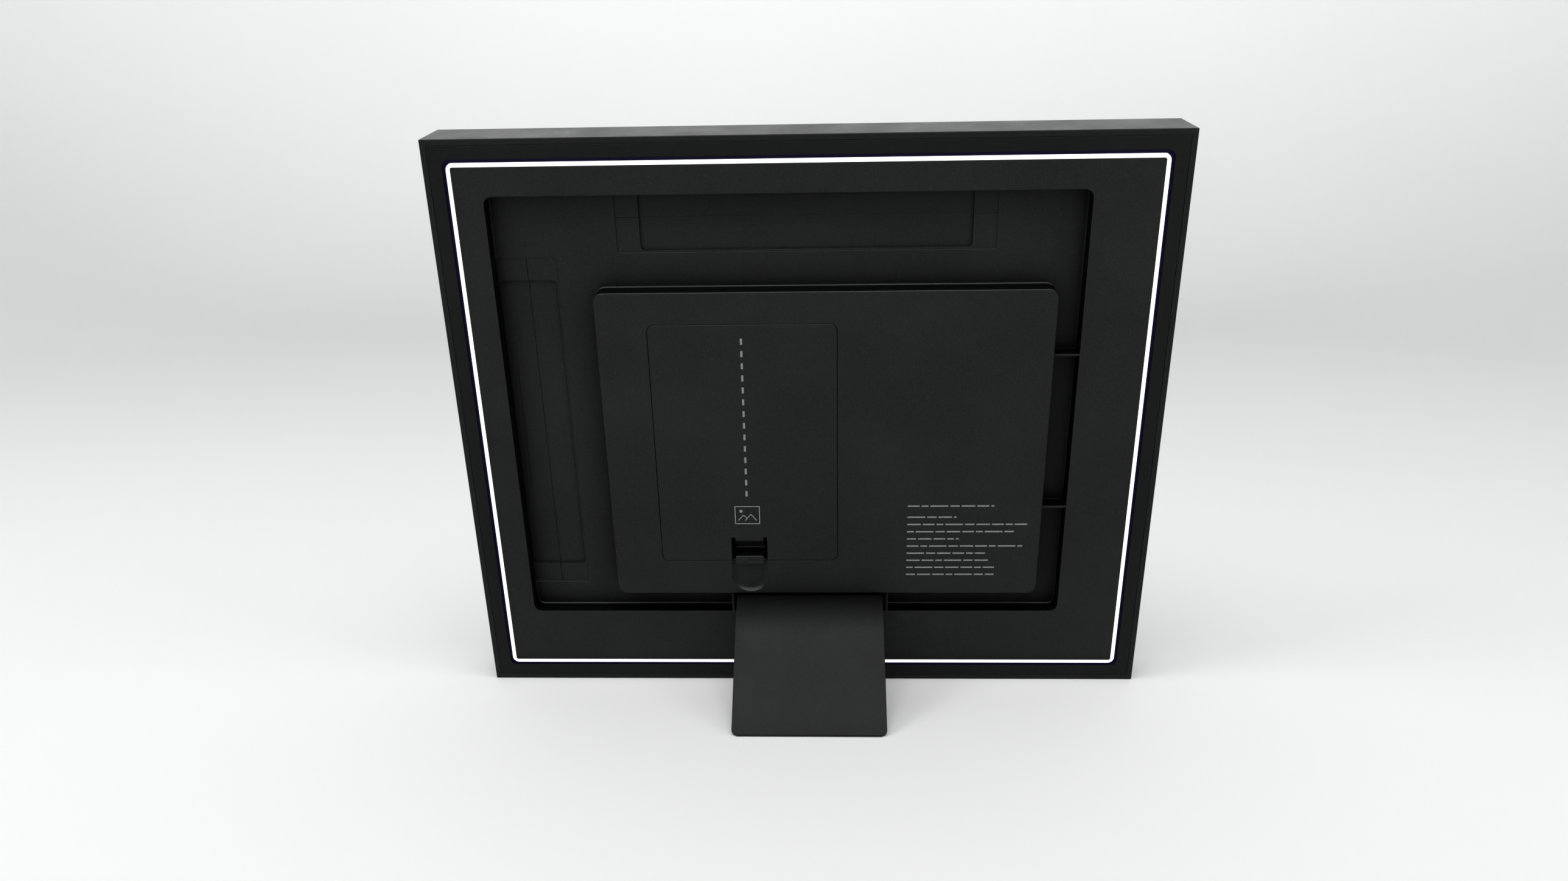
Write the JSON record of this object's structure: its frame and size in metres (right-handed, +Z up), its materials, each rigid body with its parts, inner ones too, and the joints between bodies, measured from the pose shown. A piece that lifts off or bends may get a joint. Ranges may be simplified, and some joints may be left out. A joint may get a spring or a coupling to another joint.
{
  "type": "digital photo frame",
  "caption": "Matted digital photo frame leaning back on a plug-in bent plate stand, with a lit ring round the recessed rear cover and a battery compartment door.",
  "frame": {"origin": "middle of the footprint on the table, under the centre of the bounding box", "axes": "+X to the right seen from the front, +Y towards the rear where the stand is, +Z up; the frame leans back 11.5 degrees"},
  "size_m": [0.406, 0.112, 0.341],
  "materials": {
    "frame_plastic": "fine matt moulded plastic, faint sheen on the top face",
    "bezel_plastic": "fine matt moulded plastic",
    "cover_plastic": "fine spark-eroded matt texture",
    "stand_plastic": "fine matt texture, slightly lighter",
    "button_plastic": "satin",
    "pack_plastic": "smooth matt sleeve",
    "lit_diffuser": "opal white diffuser, lit",
    "pane": "clear, polished",
    "panel_glass": "dark panel glass",
    "mat_card": "smooth off-white mat board, bevel cut",
    "white_film": "translucent white film",
    "light_guide": "clear acrylic",
    "tray_metal": "pressed sheet",
    "chassis_metal": "rolled sheet",
    "screw_steel": "plated",
    "contact_brass": "bright",
    "flat_cable": "polyimide film",
    "board": "green solder mask",
    "foam": "closed-cell foam",
    "rubber": "matt rubber"
  },
  "bodies": {
    "frame": {"outer_frame": "frame_plastic", "glazing_gasket": "foam", "front_glass": "pane", "mat_board": "mat_card", "lcd_cell": "panel_glass", "film_stack": "white_film", "light_guide": "light_guide", "backlight_tray": "tray_metal", "panel_brackets": "tray_metal", "chassis_plate": "chassis_metal", "chassis_screws": "screw_steel", "display_ribbon": "flat_cable", "rear_bezel": "bezel_plastic", "light_ring": "lit_diffuser", "led_strip": "flat_cable", "leds": "lit_diffuser", "led_tail": "flat_cable", "rear_cover": "cover_plastic", "cover_screws": "screw_steel", "battery_pack": "pack_plastic", "battery_contacts": "contact_brass", "main_board": "board", "board_standoffs": "contact_brass", "board_screws": "screw_steel", "heat_spreader": "chassis_metal", "wifi_module": "tray_metal", "wifi_antenna": "flat_cable", "port_board": "board", "port_flex": "flat_cable", "charge_port": "screw_steel"},
    "door": {"compartment_door": "cover_plastic", "battery_cushion": "foam"},
    "latch": {"door_latch": "cover_plastic"},
    "button": {"power_button": "button_plastic"},
    "stand": {"stand": "stand_plastic", "foot_strip": "rubber"}
  },
  "joints": [
    {"name": "door_swing", "type": "hinge", "parent": "frame", "child": "door", "pos_m": [0.036, 0.02635, 0.23323], "axis": [1, 0, 0], "range_deg": [0, 70]},
    {"name": "latch_flex", "type": "hinge", "parent": "door", "child": "latch", "pos_m": [0.036, -0.01134, 0.09212], "axis": [1, 0, 0], "range_deg": [0, 6], "stiffness_Nm_per_rad": 0.35},
    {"name": "button_press", "type": "slide", "parent": "frame", "child": "button", "axis": [0, 0.1994, 0.9799], "range_m": [0, 0.0008], "stiffness_N_per_m": 1500},
    {"name": "stand_pull", "type": "slide", "parent": "frame", "child": "stand", "axis": [0, 0.9799, -0.1994], "range_m": [0, 0.0065]}
  ]
}
